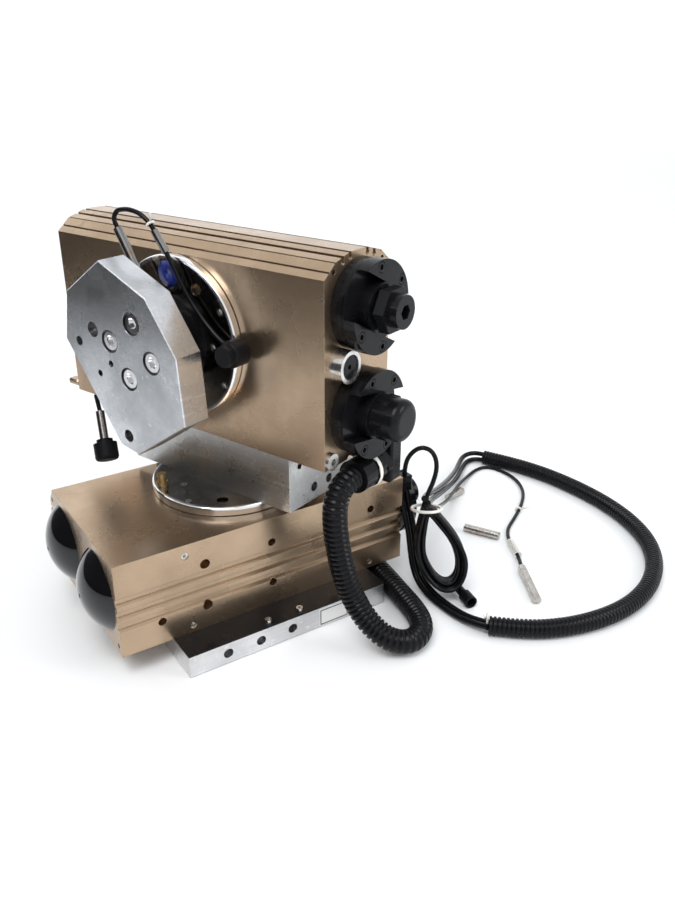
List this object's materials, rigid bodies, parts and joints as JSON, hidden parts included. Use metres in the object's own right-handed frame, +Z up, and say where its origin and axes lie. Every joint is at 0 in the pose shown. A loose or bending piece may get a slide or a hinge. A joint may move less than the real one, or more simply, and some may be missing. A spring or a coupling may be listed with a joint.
{
  "type": "two-axis rotary table",
  "caption": "Two stacked rack-and-pinion swivel units on a base plate, turning an eight-sided tool plate about an upright and a level axis, with stop caps, conduit and cable hank.",
  "frame": {"origin": "where the lower swivel axis meets the underside of the base plate", "axes": "+Z up along the lower swivel axis; +X along the lower unit's cylinders towards its stop caps; +Y towards its crowned side"},
  "size_m": [0.4461, 0.3424, 0.2724],
  "materials": {
    "champagne_anodised": "satin anodised, fine drawn grain",
    "raw_aluminium": "milled, lightly scratched",
    "black_gloss": "polished",
    "black_anodised": "satin anodised",
    "dark_chrome": "polished, dark",
    "steel": "bright zinc and stainless",
    "black_steel": "blackened",
    "black_sheet": "satin",
    "black_rubber": "matte",
    "black_conduit": "ribbed, satin",
    "cable_pvc": "smooth",
    "seal_rubber": "matte",
    "brass": "turned"
  },
  "bodies": {
    "base": {"base_plate": "raw_aluminium", "base_screws": "steel", "base_sheet": "black_sheet", "cable_outlets": "black_rubber", "cord_conduit_floor": "black_conduit", "cord_conduit_hose": "black_conduit", "cord_hank": "cable_pvc", "cord_hank_lead": "cable_pvc", "cord_lead_a_1": "cable_pvc", "cord_lead_a_2": "cable_pvc", "cord_lead_b_1": "cable_pvc", "cord_lead_b_2": "cable_pvc", "cord_loop_lead": "cable_pvc", "hank_connector": "black_rubber", "lower_bearings": "steel", "lower_cap_screws": "black_steel", "lower_dome_caps": "black_gloss", "lower_housing": "champagne_anodised", "lower_plugs": "steel", "lower_rear_cover": "raw_aluminium", "lower_shock_absorbers": "black_anodised", "lower_stop_caps": "black_anodised", "sensor_probes": "steel"},
    "swivel_body": {"adapter_lower_plate": "raw_aluminium", "adapter_screws": "steel", "adapter_upper_plate": "raw_aluminium", "conduit_gland": "black_conduit", "gland_bracket": "steel", "lower_flange_screws": "steel", "lower_pinion_flange": "dark_chrome", "stop_pin": "brass", "upper_bearings": "steel", "upper_cap_screws": "black_steel", "upper_dome_caps": "black_gloss", "upper_housing": "champagne_anodised", "upper_plugs": "steel", "upper_rear_cover": "raw_aluminium", "upper_shock_absorbers": "black_anodised", "upper_stop_caps": "black_anodised"},
    "tool_rotor": {"disc_lead": "cable_pvc", "hanging_lead": "cable_pvc", "hub": "black_anodised", "lead_knobs": "black_rubber", "lead_sleeves": "steel", "tool_plate": "raw_aluminium", "tool_screws": "steel", "upper_flange_screws": "steel", "upper_pinion_flange": "dark_chrome"},
    "lower_piston_crown": {"lower_rack_crown": "steel", "lower_seals_crown": "seal_rubber"},
    "lower_plunger_crown": {"lower_plunger_crown": "steel"},
    "lower_piston_flat": {"lower_rack_flat": "steel", "lower_seals_flat": "seal_rubber"},
    "lower_plunger_flat": {"lower_plunger_flat": "steel"},
    "upper_piston_crown": {"upper_rack_crown": "steel", "upper_seals_crown": "seal_rubber"},
    "upper_plunger_crown": {"upper_plunger_crown": "steel"},
    "upper_piston_flat": {"upper_rack_flat": "steel", "upper_seals_flat": "seal_rubber"},
    "upper_plunger_flat": {"upper_plunger_flat": "steel"}
  },
  "joints": [
    {"name": "lower_swivel", "type": "hinge", "parent": "base", "child": "swivel_body", "pos_m": [0, 0, 0.083], "axis": [0, 0, 1], "range_deg": [-90, 90], "deforming": ["cord_conduit_hose"]},
    {"name": "upper_swivel", "type": "hinge", "parent": "swivel_body", "child": "tool_rotor", "pos_m": [-0.02347, 0.00756, 0.192], "axis": [-0.9403, -0.3404, 0], "range_deg": [-90, 90]},
    {"name": "lower_rack_crown_slide", "type": "slide", "parent": "base", "child": "lower_piston_crown", "axis": [1, 0, 0], "range_m": [-0.0283, 0.0283]},
    {"name": "lower_plunger_crown_slide", "type": "slide", "parent": "base", "child": "lower_plunger_crown", "axis": [1, 0, 0], "range_m": [0, 0.008], "stiffness_N_per_m": 400, "springref_m": -0.003},
    {"name": "upper_rack_crown_slide", "type": "slide", "parent": "swivel_body", "child": "upper_piston_crown", "axis": [0.3404, -0.9403, 0], "range_m": [-0.0283, 0.0283]},
    {"name": "upper_plunger_crown_slide", "type": "slide", "parent": "swivel_body", "child": "upper_plunger_crown", "axis": [0.3404, -0.9403, 0], "range_m": [0, 0.008], "stiffness_N_per_m": 400, "springref_m": -0.003},
    {"name": "lower_rack_flat_slide", "type": "slide", "parent": "base", "child": "lower_piston_flat", "axis": [1, 0, 0], "range_m": [-0.0283, 0.0283]},
    {"name": "lower_plunger_flat_slide", "type": "slide", "parent": "base", "child": "lower_plunger_flat", "axis": [1, 0, 0], "range_m": [0, 0.008], "stiffness_N_per_m": 400, "springref_m": -0.003},
    {"name": "upper_rack_flat_slide", "type": "slide", "parent": "swivel_body", "child": "upper_piston_flat", "axis": [0.3404, -0.9403, 0], "range_m": [-0.0283, 0.0283]},
    {"name": "upper_plunger_flat_slide", "type": "slide", "parent": "swivel_body", "child": "upper_plunger_flat", "axis": [0.3404, -0.9403, 0], "range_m": [0, 0.008], "stiffness_N_per_m": 400, "springref_m": -0.003}
  ],
  "couplings": [
    {"joint": "lower_rack_crown_slide", "follows": "lower_swivel", "m_per_rad": -0.018},
    {"joint": "lower_rack_flat_slide", "follows": "lower_swivel", "m_per_rad": 0.018},
    {"joint": "upper_rack_crown_slide", "follows": "upper_swivel", "m_per_rad": -0.018},
    {"joint": "upper_rack_flat_slide", "follows": "upper_swivel", "m_per_rad": 0.018}
  ]
}
